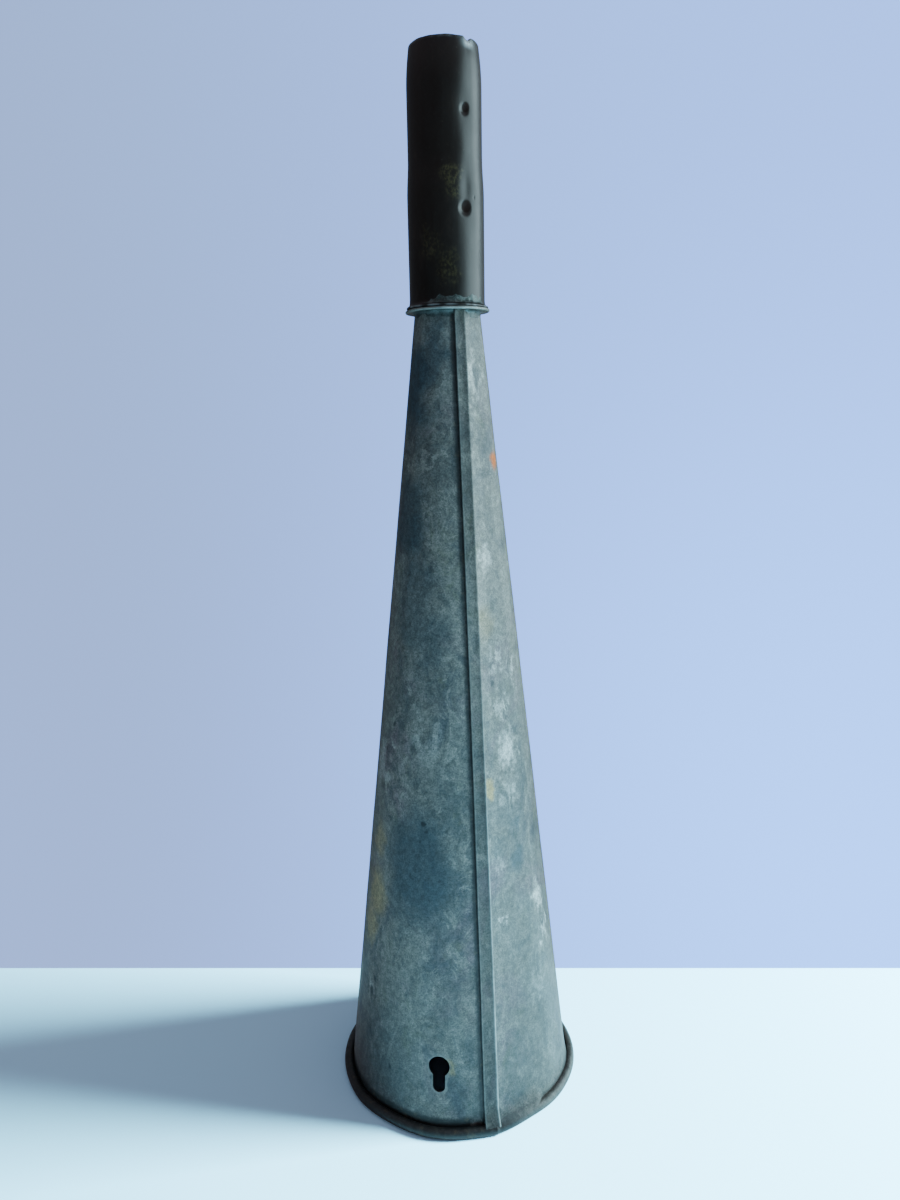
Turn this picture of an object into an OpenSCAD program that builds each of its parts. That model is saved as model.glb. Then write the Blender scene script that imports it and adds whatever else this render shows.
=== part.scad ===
// Long galvanised funnel: a rolled sheet cone with a wired rim, a folded side seam and a
// keyhole to hang it by, and a steel spout tube soldered on over its neck.
// It stands on its mouth. The origin is the centre of the mouth, on the resting plane,
// +Z points to the spout and -Y to the side with the keyhole and the seam.
// Azimuths are measured from -Y towards +X.

/* [Cone] */
// Height of the cone, from the resting plane to the foot of the neck
cone_h = 355; // [300:1:400]
// Outside radius of the sheet, run down to the resting plane
mouth_r = 53; // [48:0.5:58]
// Outside radius of the neck
neck_r = 13.8; // [13:0.1:14]
// Length of the neck inside the spout tube
neck_h = 20; // [12:1:30]
// Thickness of the galvanised sheet
sheet_t = 0.55; // [0.45:0.05:0.7]

/* [Wired rim] */
// Diameter of the rim wire
wire_d = 3.6; // [3:0.1:4.5]
// Gap between the two ends of the wire
wire_gap = 0.6; // [0.3:0.1:2]
// Angle at which the curl ends, above the wire
curl_end = 138; // [110:1:140]
// Depth to which the bottom of the bead is worn flat
rim_flat = 0.1; // [0.05:0.01:0.2]

/* [Side seam] */
// Height of the seam above the sheet
seam_t = 1.1; // [0.8:0.1:1.6]
// Width of the seam at the mouth
seam_w_low = 6.3; // [5:0.1:8]
// Width of the seam at the neck
seam_w_top = 4.0; // [3:0.1:5]
// Sideways place of the seam at the mouth
seam_x_low = 13.9; // [8:0.1:20]
// Sideways place of the seam at the neck
seam_x_top = 4.7; // [2:0.1:6]

/* [Keyhole] */
// Diameter of the round part
key_d = 9.5; // [8:0.1:12]
// Width of the slot
key_slot_w = 5.6; // [5:0.1:6.5]
// Distance from the centre of the round part to the end of the slot
key_len = 11.9; // [10:0.1:14]
// Height of the centre of the round part
key_z = 31.1; // [25:0.1:45]
// Azimuth of the keyhole
key_az = -10.7; // [-20:0.1:0]

/* [Collar] */
// Radius of the collar ring
collar_r = 17.85; // [17.5:0.05:19]
// Thickness of the collar ring
collar_t = 1.2; // [0.8:0.1:2]
// Width of the solder fillet under the ring
fillet_w = 1.6; // [1:0.1:2.4]
// Height of the solder fillet under the ring
fillet_h = 2.4; // [1.5:0.1:4]

/* [Spout tube] */
// Overall height of the funnel
total_h = 457; // [445:1:470]
// Outside radius of the lower half of the tube
tube_r = 15.85; // [15.6:0.05:16.2]
// Outside radius of the upper half of the tube
upper_r = 15.25; // [15:0.05:15.5]
// Outside radius of the tip
tip_r = 14.1; // [13.9:0.05:14.3]
// Wall thickness of the tube
tube_t = 1.6; // [1.5:0.05:1.7]
// Radius of the lip at the foot of the tube
lip_r = 17.2; // [17:0.05:17.4]
// Thickness of the lip
lip_t = 0.9; // [0.7:0.1:1.2]
// Depth of the punched dimples
dimple_depth = 1; // [0.6:0.1:1.2]
// Azimuth of the nick in the tip
nick_az = 43; // [30:1:60]

/* [Hidden] */
$fn = 96;
clear = 0.02;                                 // between pieces that fit closely
zinc = [0.62, 0.66, 0.65];
seam_zinc = [0.55, 0.60, 0.59];
solder = [0.70, 0.72, 0.72];
wire_steel = [0.35, 0.34, 0.33];
black_steel = [0.10, 0.10, 0.10];

slope = (mouth_r - neck_r) / cone_h;          // of the cone's wall
wall_a = atan(slope);
wall_w = sheet_t / cos(wall_a);               // the sheet's thickness, measured level
function wall_r(z) = mouth_r - slope * z;     // outside of the sheet at height z

curl_r = wire_d / 2 + clear;                  // inside of the curl
bead_r = curl_r + sheet_t;                    // outside of the curl
wire_z = bead_r - rim_flat;
wire_x = wall_r(wire_z) + curl_r / cos(wall_a);
lap = 0.02;                                   // of the wall into the curl, to join them
wall_foot = wire_z - curl_r * sin(wall_a) - lap;
foot_in = [wall_r(wall_foot) - sheet_t * cos(wall_a), wall_foot - sheet_t * sin(wall_a)];

collar_z = cone_h + 0.5;                      // underside of the ring
lip_z = collar_z + collar_t;                  // underside of the tube
flare_z = lip_z + lip_t + 1.8;                // top of the flared foot
straight_1 = 400;                             // top of the tube's lower straight stretch
straight_2 = 415;                             // foot of its upper straight stretch
swage_z = total_h - 16;                       // where the tip starts to close in
tip_land = 6;                                 // straight length inside the tip
seam_foot = 2 * bead_r + 0.4;
seam_top = cone_h - 3;

// [height, azimuth, ball radius] of the punched dimples
dimples = [[394, 31, 4.5], [430.5, 33, 3.6]];

// Outline of a rolled edge round the wire, open where the wall comes down
module curl_outline() {
  wall_start = 180 + wall_a;
  reach = 2 * bead_r;
  difference() {
    circle(bead_r);
    circle(curl_r);
    polygon([[0, 0],
             for (a = [curl_end, (curl_end + wall_start) / 2, wall_start]) reach * [cos(a), sin(a)]]);
  }
}

module cone_outline() {
  difference() {
    union() {
      polygon([foot_in,
               [wall_r(wall_foot), wall_foot],
               [neck_r, cone_h],
               [neck_r, cone_h + neck_h],
               [neck_r - sheet_t, cone_h + neck_h],
               [neck_r - sheet_t, cone_h + (wall_w - sheet_t) / slope]]);
      translate([wire_x, wire_z]) curl_outline();
    }
    translate([0, -bead_r]) square([mouth_r + 4 * bead_r, bead_r]);
  }
}

// The keyhole, cut square to the wall, with its slot towards the mouth
module keyhole() {
  depth = 8;
  slot_end = key_len - key_slot_w / 2;
  rotate([0, 0, key_az])
    translate([0, -wall_r(key_z), key_z])
      rotate([90 - wall_a, 0, 0])
        translate([0, 0, -depth / 2])
          linear_extrude(depth) {
            circle(d = key_d);
            translate([0, -slot_end]) circle(d = key_slot_w);
            translate([-key_slot_w / 2, -slot_end]) square([key_slot_w, slot_end]);
          }
}

// A prism through the front of the cone that narrows with the seam, times share of its width
module seam_prism(share) {
  low = share * seam_w_low / 2;
  top = share * seam_w_top / 2;
  rotate([90, 0, 0])
    linear_extrude(mouth_r + 10)
      polygon([[seam_x_low - low, seam_foot], [seam_x_low + low, seam_foot],
               [seam_x_top + top, seam_top], [seam_x_top - top, seam_top]]);
}

// A skin of the cone from offset a to offset b outside the sheet's outer face
module cone_skin(a, b) {
  rotate_extrude()
    polygon([[wall_r(0) + a, 0], [wall_r(0) + b, 0], [neck_r + b, cone_h], [neck_r + a, cone_h]]);
}

module cone_sheet() {
  color(zinc) difference() {
    rotate_extrude() cone_outline();
    keyhole();
  }
}

module side_seam() {
  color(seam_zinc) intersection() {
    cone_skin(0, seam_t);
    seam_prism(1);
  }
}

module rim_wire() {
  gap_a = wire_gap / wire_x * 180 / PI;
  color(wire_steel)
    rotate([0, 0, gap_a - 75])
      rotate_extrude(angle = 360 - gap_a)
        translate([wire_x, wire_z]) circle(d = wire_d);
}

module collar_ring() {
  color(zinc)
    rotate_extrude() {
      edge = collar_t / 2;
      translate([neck_r + clear, collar_z]) square([collar_r - edge - neck_r - clear, collar_t]);
      translate([collar_r - edge, collar_z + edge]) circle(edge);
    }
}

// A hollow fillet from corner (0, 0) out to w and up to h
module fillet_outline(w, h) {
  difference() {
    polygon([[0, 0], [w, 0], [0, h]]);
    translate([w, h]) scale(min(w, h)) circle(1);
  }
}

module collar_solder() {
  color(solder)
    rotate_extrude()
      difference() {
        polygon([[wall_r(collar_z - fillet_h), collar_z - fillet_h],
                 [neck_r + fillet_w, collar_z],
                 [neck_r + clear, collar_z],
                 [neck_r, cone_h]]);
        translate([neck_r + fillet_w + 1, collar_z - fillet_h]) circle(fillet_w);
      }
}

// Outside and inside of the tube, from the lip up to the tip
module tube_outline() {
  polygon([[tube_r - tube_t, lip_z],
           [lip_r, lip_z],
           [lip_r, lip_z + lip_t],
           for (a = [0 : 15 : 90])
             [tube_r + (lip_r - tube_r) * (1 - sin(a)), flare_z - (flare_z - lip_z - lip_t) * cos(a)],
           [tube_r, straight_1],
           [upper_r, straight_2],
           for (a = [0 : 10 : 60])
             [tip_r + (upper_r - tip_r) * (cos(a) - cos(60)) / (1 - cos(60)),
              swage_z + (total_h - 0.4 - swage_z) * a / 60],
           [tip_r - 0.4, total_h],
           [tip_r - tube_t, total_h],
           [tip_r - tube_t, total_h - tip_land],
           [upper_r - tube_t, swage_z],
           [upper_r - tube_t, straight_2],
           [tube_r - tube_t, straight_1]]);
}

module dimple(z, az, ball_r) {
  rotate([0, 0, az])
    translate([0, -(z < straight_2 ? tube_r : upper_r) - ball_r + dimple_depth, z])
      sphere(ball_r);
}

module nick() {
  nick_w = 3.6;
  nick_depth = 2.4;
  rotate([0, 0, nick_az])
    translate([-nick_w / 2, -tip_r - 1, total_h - nick_depth])
      cube([nick_w, tube_t + 2, nick_depth + 1]);
}

module spout_tube() {
  color(black_steel) difference() {
    rotate_extrude() tube_outline();
    for (d = dimples) dimple(d[0], d[1], d[2]);
    nick();
  }
}

// A smear on the foot of the tube, over part of the way round
module lip_solder() {
  smear_a = 80;
  smear_h = 2.6;
  smear_t = 0.35;
  color(solder)
    rotate([0, 0, -110])
      rotate_extrude(angle = smear_a)
        polygon([[tube_r + clear, flare_z], [tube_r + smear_t, flare_z],
                 [tube_r + smear_t / 2, flare_z + smear_h], [tube_r + clear, flare_z + smear_h]]);
}

module neck_solder() {
  run_h = 6;
  color(solder)
    rotate_extrude()
      translate([neck_r + clear, lip_z + clear])
        square([tube_r - tube_t - neck_r - 2 * clear, run_h]);
}

module seam_solder() {
  run_t = 0.4;
  color(solder) intersection() {
    cone_skin(-wall_w - run_t, -wall_w - clear);
    seam_prism(0.6);
  }
}

cone_sheet();
side_seam();
rim_wire();
collar_ring();
collar_solder();
spout_tube();
lip_solder();
neck_solder();
seam_solder();
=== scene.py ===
import math

import bmesh
import bpy
from mathutils import Matrix, Vector, noise


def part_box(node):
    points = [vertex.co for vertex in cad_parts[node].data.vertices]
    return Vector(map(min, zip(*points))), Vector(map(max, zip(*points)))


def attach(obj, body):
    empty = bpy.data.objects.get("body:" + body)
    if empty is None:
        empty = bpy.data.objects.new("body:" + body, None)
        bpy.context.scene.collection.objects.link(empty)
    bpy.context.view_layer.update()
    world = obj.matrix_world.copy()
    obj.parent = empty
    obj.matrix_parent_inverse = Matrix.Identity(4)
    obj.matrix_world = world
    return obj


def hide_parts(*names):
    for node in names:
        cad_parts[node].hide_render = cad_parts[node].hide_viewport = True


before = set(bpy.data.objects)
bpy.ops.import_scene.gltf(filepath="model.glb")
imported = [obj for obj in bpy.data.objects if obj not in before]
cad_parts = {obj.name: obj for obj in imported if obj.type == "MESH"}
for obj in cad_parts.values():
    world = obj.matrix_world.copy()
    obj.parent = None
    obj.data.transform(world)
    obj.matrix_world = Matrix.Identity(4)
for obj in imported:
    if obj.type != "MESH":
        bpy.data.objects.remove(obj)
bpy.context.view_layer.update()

# Lengths in the shape functions are millimetres and angles are degrees. Azimuths are measured
# from -Y, the side with the keyhole, towards +X.
MM = 0.001


def node_size(name):
    """(outside radius, lowest z, highest z) of a turned CAD node, in millimetres."""
    low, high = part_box(name)
    return high[0] / MM, low[2] / MM, high[2] / MM


RIM_R, _, NECK_TOP = node_size("cone_sheet")
RING_R, RING_LOW, RING_HIGH = node_size("collar_ring")
LIP_R, LIP_Z, TIP_Z = node_size("spout_tube")

# Sizes of the CAD design. The ring lies just above the top of the cone.
CONE_TOP = RING_LOW - 0.5
MOUTH_R = 53.0
NECK_R = 13.8
SHEET_T = 0.55
WIRE_R = 1.8
CURL_R = 1.82
BEAD_R = CURL_R + SHEET_T
BEAD_X = RIM_R - BEAD_R
BEAD_WORN = 0.1
BEAD_Z = BEAD_R - BEAD_WORN
CURL_END = 138
TUBE_R = 15.85
UPPER_R = 15.25
TIP_R = 14.1
TUBE_T = 1.6
SEAM_LEFT = (10.8, 2.7)
SEAM_RIGHT = (17.1, 6.7)
SEAM_BOW = 0.5
SEAM_RISE = 1.15
KEY_Z = 31.1
KEY_AZ = -10.7
KEY_R = 4.75
KEY_SLOT_R = 2.8
KEY_SLOT_END = 9.1
SLOPE = (MOUTH_R - NECK_R) / CONE_TOP
WALL_A = math.atan(SLOPE)

# The flat to the right of the seam, in degrees from the seam's edge: where it ends, and where the
# round wall takes over. It dips FLAT_DIP inside the true cone where that has the radius FLAT_DIP_R.
FLAT_SPAN = 25.5
BLEND_SPAN = 49.0
FLAT_DIP = 1.4
FLAT_DIP_R = 52

# Beside the seam the wall runs flush into the rim, from the height FLUSH_TOP down to the angle
# FLUSH_ANGLE on the bead. FLUSH_END is where a groove opens again on the right.
FLUSH_ANGLE = 50
FLUSH_TOP = 13.0
FLUSH_END = (40, 52)
CORNER_AZ = 17.0

# The wall takes the bent rim's shape at RIM_LOW and its own at RIM_HIGH
RIM_LOW = 4.7
RIM_HIGH = 16

# Edges sharper than this stay sharp when a piece is shaded
SHARP = 38


def clamp(x):
    return min(1.0, max(0.0, x))


def smooth(a, b, x):
    t = clamp((x - a) / (b - a))
    return t * t * (3 - 2 * t)


def mix(a, b, t):
    return a + (b - a) * t


def hump(x, centre, width):
    return math.exp(-(((x - centre) / width) ** 2))


def turn(az):
    """az brought between -180 and 180."""
    return (az + 180) % 360 - 180


def arc(az, centre, radius):
    """Distance from azimuth centre round to az, on a circle of that radius."""
    return math.radians(turn(az - centre)) * radius


def point(r, az, z):
    a = math.radians(az)
    return Vector((r * math.sin(a), -r * math.cos(a), z)) * MM


def polar(co):
    """(radius, azimuth, height) of a point in metres, in millimetres and degrees."""
    return math.hypot(co.x, co.y) / MM, math.degrees(math.atan2(co.x, -co.y)), co.z / MM


def rough(seed, z, size):
    """Smooth noise between about -1 and 1 along a height, with features of that size."""
    return noise.noise(Vector((13.1 * seed, -7.7 * seed, z / size + 3.3 * seed)))


def wall_noise(seed, az, z, across, along):
    """Smooth noise round a wall of 50 mm radius, with features of those sizes."""
    a = math.radians(az)
    turns = 50 / across
    return noise.noise(Vector((math.sin(a) * turns + 13.1 * seed, math.cos(a) * turns, z / along)))


def cone_radius(z):
    return MOUTH_R - SLOPE * z if z < CONE_TOP else NECK_R


def edge_az(edge, z):
    """Azimuth of the seam's left or right edge at height z."""
    t = min(z, CONE_TOP) / CONE_TOP
    x = mix(*edge, t) + SEAM_BOW * 4 * t * (1 - t)
    return math.degrees(math.asin(x / (cone_radius(min(z, CONE_TOP)) + SEAM_RISE)))


def chord(r1, r2, span, a):
    """Radius at angle a of the straight line from r1 at 0 to r2 at span."""
    w = math.radians(span)
    a = math.radians(a)
    return r1 * r2 * math.sin(w) / (r1 * math.sin(a) + r2 * math.sin(w - a))


def bent_offset(az, z):
    """How far the bend at the seam and the flat beside it stand off the true cone.

    The flat is a straight line. A cubic curve leads from its end back to the round wall.
    """
    base = cone_radius(z)
    crease = edge_az(SEAM_RIGHT, z)
    left = edge_az(SEAM_LEFT, z)
    rel = turn(az - crease)
    dip = FLAT_DIP * base / FLAT_DIP_R
    if 0 <= rel < FLAT_SPAN:
        return chord(base + SEAM_RISE, base - dip, FLAT_SPAN, rel) - base
    if FLAT_SPAN <= rel < BLEND_SPAN:
        step = 0.5
        before = chord(base + SEAM_RISE, base - dip, FLAT_SPAN, FLAT_SPAN - step) - base
        span = BLEND_SPAN - FLAT_SPAN
        slope = (-dip - before) / step * span
        t = (rel - FLAT_SPAN) / span
        return -dip * (2 * t ** 3 - 3 * t ** 2 + 1) + slope * (t ** 3 - 2 * t ** 2 + t)
    if left - crease < rel < 0:
        return SEAM_RISE * 0.97 * smooth(left + 0.25 * (crease - left), crease, az)
    return 0.0


def key_distance(az, z):
    """Distance from the keyhole's edge along the sheet, negative inside the hole."""
    u = arc(az, KEY_AZ, cone_radius(KEY_Z))
    v = (z - KEY_Z) / math.cos(WALL_A)
    slot_v = min(0.0, max(-KEY_SLOT_END, v))
    return min(math.hypot(u, v) - KEY_R, math.hypot(u, v - slot_v) - KEY_SLOT_R)


# Azimuth, height, breadth and depth of the dents in the cone
DENTS = [(-56, 172, 5, 0.35), (-60, 54, 5, 0.4), (43, 165, 7, 0.3), (46, 118, 5, 0.35),
         (-24, 130, 9, 0.3), (120, 90, 8, 0.5), (-140, 210, 10, 0.5), (165, 60, 7, 0.4)]
# Azimuth of a long shallow bend, and the depth and breadth of the dish round the keyhole
BEND_AZ = -44
KEY_DISH = 0.35
KEY_DISH_WIDE = 1.4


def buckle(az, z):
    """The hand-rolled unevenness of the sheet: ripples, a long bend, dents and the dished keyhole."""
    ripple = 0.20 * wall_noise(1, az, z, 40, 60) + 0.10 * wall_noise(2, az, z, 16, 26)
    bend = 0.30 * hump(turn(az - BEND_AZ), 0, 6) * smooth(150, 260, z)
    dents = 0.0
    for dent_az, dent_z, wide, deep in DENTS:
        reach = arc(az, dent_az, cone_radius(dent_z))
        dents -= deep * math.exp(-(reach * reach + (z - dent_z) ** 2) / wide ** 2)
    dish = 0.0
    if abs(turn(az - CORNER_AZ)) > 4:
        dish = -KEY_DISH * math.exp(-((max(0.0, key_distance(az, z)) / KEY_DISH_WIDE) ** 2))
    return ripple + bend + dents + dish


# Azimuth, breadth and size of the bends in the rim. A bend inward is negative.
RIM_BENDS = ((36, 15, -1.9), (62, 14, -0.7), (7, 7, -0.45),
             (-14, 10, 0.45), (-56, 9, 0.3), (-36, 9, -0.35))


def bead_shift(az):
    """How far the bent rim stands outside its true circle, with a small corner by the seam."""
    corner = math.exp((az - CORNER_AZ) / 3) if az < CORNER_AZ else math.exp((CORNER_AZ - az) / 0.9)
    shape = sum(size * hump(az, centre, breadth) for centre, breadth, size in RIM_BENDS)
    return shape + 0.45 * corner + 0.22 * wall_noise(5, az, 0, 30, 50)


def no_groove(az):
    """1 where the wall runs smoothly into the rim, 0 where a groove parts them."""
    left = edge_az(SEAM_LEFT, 6)
    return smooth(left - 0.3, left + 0.3, az) * (1 - smooth(*FLUSH_END, az))


def flush(az):
    """Share of the way that the wall's foot is drawn out to the rim. Far right it is a third."""
    return max(no_groove(az), 0.36 * smooth(30, 45, az) * (1 - smooth(72, 100, az)))


def flush_radius(az):
    """Radius at which a flush wall meets the bead."""
    return BEAD_X + bead_shift(az) + BEAD_R * math.cos(math.radians(FLUSH_ANGLE))


FLUSH_Z = BEAD_Z + BEAD_R * math.sin(math.radians(FLUSH_ANGLE))


def flush_weight(z):
    """How far a flush wall is drawn out: from 0 at FLUSH_TOP to 1 where it meets the bead."""
    return clamp((FLUSH_TOP - z) / (FLUSH_TOP - FLUSH_Z)) ** 2 if z >= FLUSH_Z - 0.01 else 0.0


def sheet_radius(az, z, drawn_out=True):
    """Outside radius of the cone's sheet, with its foot drawn out to the rim or not."""
    base = cone_radius(z)
    body = (bent_offset(az, z) + buckle(az, z)) * (1 - smooth(CONE_TOP - 0.4, CONE_TOP + 0.4, z))
    r = base + mix(body, bead_shift(az), 1 - smooth(RIM_LOW, RIM_HIGH, z))
    if drawn_out:
        r = mix(r, flush_radius(az), flush(az) * flush_weight(z))
    return r


def finish_mesh(name, bm, sharp=SHARP):
    """An object from bm, smooth except at edges sharper than that angle."""
    bmesh.ops.recalc_face_normals(bm, faces=bm.faces)
    mesh = bpy.data.meshes.new(name)
    bm.to_mesh(mesh)
    bm.free()
    for face in mesh.polygons:
        face.use_smooth = True
    mesh.set_sharp_from_angle(angle=math.radians(sharp))
    obj = bpy.data.objects.new(name, mesh)
    bpy.context.scene.collection.objects.link(obj)
    return obj


def loft(name, loops, ends="caps", sharp=SHARP):
    """A closed skin through loops of points.

    ends is caps, or ring where the last loop meets the first.
    """
    bm = bmesh.new()
    rows = [[bm.verts.new(co) for co in loop] for loop in loops]
    count = len(rows[0])
    pairs = list(zip(rows, rows[1:]))
    if ends == "ring":
        pairs.append((rows[-1], rows[0]))
    for one, two in pairs:
        for i in range(count):
            j = (i + 1) % count
            bm.faces.new((one[i], one[j], two[j], two[i]))
    if ends == "caps":
        bm.faces.new(list(reversed(rows[0])))
        bm.faces.new(rows[-1])
    return finish_mesh(name, bm, sharp)


def paint(obj, name, amount):
    """A mask on the mesh's points, from a function of radius, azimuth and height."""
    layer = obj.data.attributes.new(name, "FLOAT", "POINT")
    for i, vertex in enumerate(obj.data.vertices):
        layer.data[i].value = clamp(amount(*polar(vertex.co)))


def steps(a, b, step):
    """Even steps from a up to b, without b itself."""
    count = max(1, round(abs(b - a) / step))
    return [mix(a, b, i / count) for i in range(count)]


# Cone

def sheet_columns():
    """Azimuths from the seam's right edge, closer together where the sheet is bent or cut."""
    return (steps(-180, -60, 1.6) + steps(-60, -24, 0.9) + steps(-24, -9, 0.7) + steps(-9, -6.4, 0.2)
            + steps(-6.4, -1.5, 0.5) + steps(-1.5, 1.5, 0.15) + steps(1.5, 30, 0.9)
            + steps(30, 60, 1.2) + steps(60, 180, 1.6))


def sheet_loop(rel):
    """The sheet's outline at one azimuth, from the neck down, round the curl and up the inside."""
    loop = []

    def add(radius_at, z):
        az = turn(edge_az(SEAM_RIGHT, max(z, 6)) + rel)
        loop.append(point(radius_at(az), az, z))

    levels = [NECK_TOP, NECK_TOP - 8, CONE_TOP + 1.2, CONE_TOP + 0.4, CONE_TOP, CONE_TOP - 0.4]
    levels += steps(CONE_TOP - 3, 60, 4) + steps(60, FLUSH_TOP, 1.6) + steps(FLUSH_TOP, FLUSH_Z, 0.7)
    levels += [FLUSH_Z, FLUSH_Z - 0.5, 3.0, 2.1]
    for z in levels:
        add(lambda az: sheet_radius(az, z), z)
    start = 180 + math.degrees(WALL_A)

    def curl(radius, angle):
        a = math.radians(angle)
        z = max(0.0, BEAD_Z + radius * math.sin(a))
        add(lambda az: BEAD_X + bead_shift(az) + radius * math.cos(a), z)

    end = 360 + CURL_END
    inner_steps = 11
    outer_steps = 30
    for i in range(1, inner_steps + 1):
        curl(CURL_R, mix(start, end, i / inner_steps))
    for i in range(outer_steps):
        curl(BEAD_R, mix(end, start, i / outer_steps))
    inside = [BEAD_Z, 5, 9, 14] + steps(20, CONE_TOP - 2, 6)
    inside += [CONE_TOP - 1, CONE_TOP + 2, NECK_TOP]
    for z in inside:
        add(lambda az: sheet_radius(az, z, False) - SHEET_T, z)
    return loop


def keyhole_cutter():
    """A prism through the front of the cone, square to its wall."""
    outline = []
    round_steps = 39
    slot_steps = 15
    turn_in = math.degrees(math.asin(KEY_SLOT_R / KEY_R))
    for i in range(round_steps + 1):
        a = math.radians(mix(-90 + turn_in, 270 - turn_in, i / round_steps))
        outline.append((KEY_R * math.cos(a), KEY_R * math.sin(a)))
    for i in range(slot_steps + 1):
        a = math.radians(mix(180, 360, i / slot_steps))
        outline.append((KEY_SLOT_R * math.cos(a), KEY_SLOT_R * math.sin(a) - KEY_SLOT_END))
    place = Matrix.Rotation(math.radians(KEY_AZ), 4, "Z")
    place = place @ Matrix.Translation(Vector((0, -cone_radius(KEY_Z), KEY_Z)) * MM)
    place = place @ Matrix.Rotation(math.pi / 2 - WALL_A, 4, "X")
    loops = [[place @ (Vector((u, v, w)) * MM) for u, v in outline] for w in (-4, 4)]
    return loft("keyhole_cutter", loops)


def cut(obj, cutter):
    """Takes cutter away from obj, which stays a plain mesh."""
    tool = obj.modifiers.new("cut", "BOOLEAN")
    tool.operation = "DIFFERENCE"
    tool.solver = "EXACT"
    tool.object = cutter
    depsgraph = bpy.context.evaluated_depsgraph_get()
    mesh = bpy.data.meshes.new_from_object(obj.evaluated_get(depsgraph))
    obj.modifiers.clear()
    obj.data = mesh
    mesh.set_sharp_from_angle(angle=math.radians(SHARP))
    bpy.data.objects.remove(cutter)


# Height of the dirt and painted shade in the groove above the rim, on the left and on the right
GROOVE_DIRT_AND_SHADE = (8.1, 5.6)
INSIDE_DARKENING = 0.25


def sheet_dirt_and_shade(r, az, z):
    """Dirt and painted shadow in the groove above the rim and in the gap beside the seam, and dirt with
    painted shade on the rim itself.
    """
    # The inside of the cone is a little darker all over.
    if r < cone_radius(z) - 0.4 and z > BEAD_Z:
        return INSIDE_DARKENING
    open_groove = 1 - no_groove(az)
    # Painted shadow with some dirt in the gap on the left of the seam's fold.
    gap = math.radians(edge_az(SEAM_LEFT, z) - az) * cone_radius(z)
    shadow_and_dirt_beside = 1 - smooth(0.9 + 0.5 * rough(3, z, 11), 2.9, gap) if -3 < gap < 6 else 0.0
    shadow_and_dirt_beside *= 0.9 + 0.3 * rough(3, z, 14)
    # Dirt and painted shade in the open groove above the rim, reaching higher on the left.
    right = smooth(20, 55, az) * (1 - smooth(120, 150, az))
    reach = mix(*GROOVE_DIRT_AND_SHADE, right)
    full = reach - mix(1.2, 0.5, right)
    none = reach + mix(0.5, 0.2, right)
    groove_dirt_and_shade = open_groove * (1 - smooth(full, none, z))
    true_r = r - bead_shift(az)
    # On the rim: dirt, with painted shade on its left side, along its bottom and, where the groove is open,
    # on its inner quarter.
    on_bead = smooth(BEAD_X - 1.5, BEAD_X - 0.5, true_r) * (1 - smooth(4.75, 5.2, z))
    if on_bead > 0.5:
        face = mix(0.93, 0.38, smooth(17, 32, az) * (1 - smooth(120, 150, az)))
        shade_under_bead = 0.5 * (1 - smooth(0.8, 3.2, z))
        inside = BEAD_X - 0.9 * right
        inner = open_groove * (1 - smooth(inside - 0.6, inside + 0.5, true_r))
        return max(face + shade_under_bead, inner)
    # A painted shade line along the crease where the wall runs flush into the rim, right of the seam.
    crease_shade_line = 0.65 * no_groove(az) * hump(z, 6.0, 1.1) * smooth(18, 25, az)
    # Darker just below the ring.
    collar = 0.5 * smooth(CONE_TOP - 5, CONE_TOP - 1, z)
    return max(shadow_and_dirt_beside, groove_dirt_and_shade, crease_shade_line, collar)


def sheet_wear_and_glint(r, az, z):
    """Bare bright metal round the keyhole, and worn metal with painted highlights at the rim's corner and
    along the rim's outer edge.
    """
    hole = 0.2 * math.exp(-((key_distance(az, z) / 0.5) ** 2)) if abs(az - KEY_AZ) < 20 else 0.0
    # Worn metal with a painted highlight at the rim's corner by the seam.
    corner = hump(az, CORNER_AZ, 1.2) * (1 - smooth(5, 9, z)) * smooth(1.2, 3, z)
    # A painted highlight along the rim's outer edge, from its lit right side round the back.
    rim = 0.3 * hump(r - bead_shift(az), BEAD_X + 1.6, 0.7) * smooth(20, 50, az)
    return max(hole, 0.9 * corner, rim * (1 - smooth(4.6, 5, z)))


def make_cone():
    """The tapered sheet with its curled rim and its keyhole."""
    loops = [sheet_loop(rel) for rel in sheet_columns()]
    cone = loft("cone_shell", loops, "ring")
    cut(cone, keyhole_cutter())
    paint(cone, "dirt_and_shade", sheet_dirt_and_shade)
    paint(cone, "wear_and_glint", sheet_wear_and_glint)
    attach(cone, "root")
    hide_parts("cone_sheet")
    return cone


# Azimuths of the wire's two ends, with a narrow gap between them under the seam
WIRE_ENDS = (15.4, 374.6)
WIRE_STEPS = 180
WIRE_SIDES = 14


def make_wire():
    """The rim's wire, inside the curl."""
    loops = []
    for i in range(WIRE_STEPS + 1):
        az = mix(*WIRE_ENDS, i / WIRE_STEPS)
        centre = BEAD_X + bead_shift(turn(az))
        ring = []
        for k in range(WIRE_SIDES):
            a = 2 * math.pi * k / WIRE_SIDES
            ring.append(point(centre + WIRE_R * math.cos(a), az, BEAD_Z + WIRE_R * math.sin(a)))
        loops.append(ring)
    wire = loft("rim_wire_bent", loops)
    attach(wire, "root")
    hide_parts("rim_wire")
    return wire


# Seam

FOLD_R = 0.47
RIDGE_LOW = 0.36
RIDGE_TOP = 0.06


def ridge_height(z):
    """Height of the rubbed ridge along the seam's right edge. It almost fades out half way up."""
    return RIDGE_TOP + (RIDGE_LOW - RIDGE_TOP) * (1 - smooth(110, 240, z))


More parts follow.
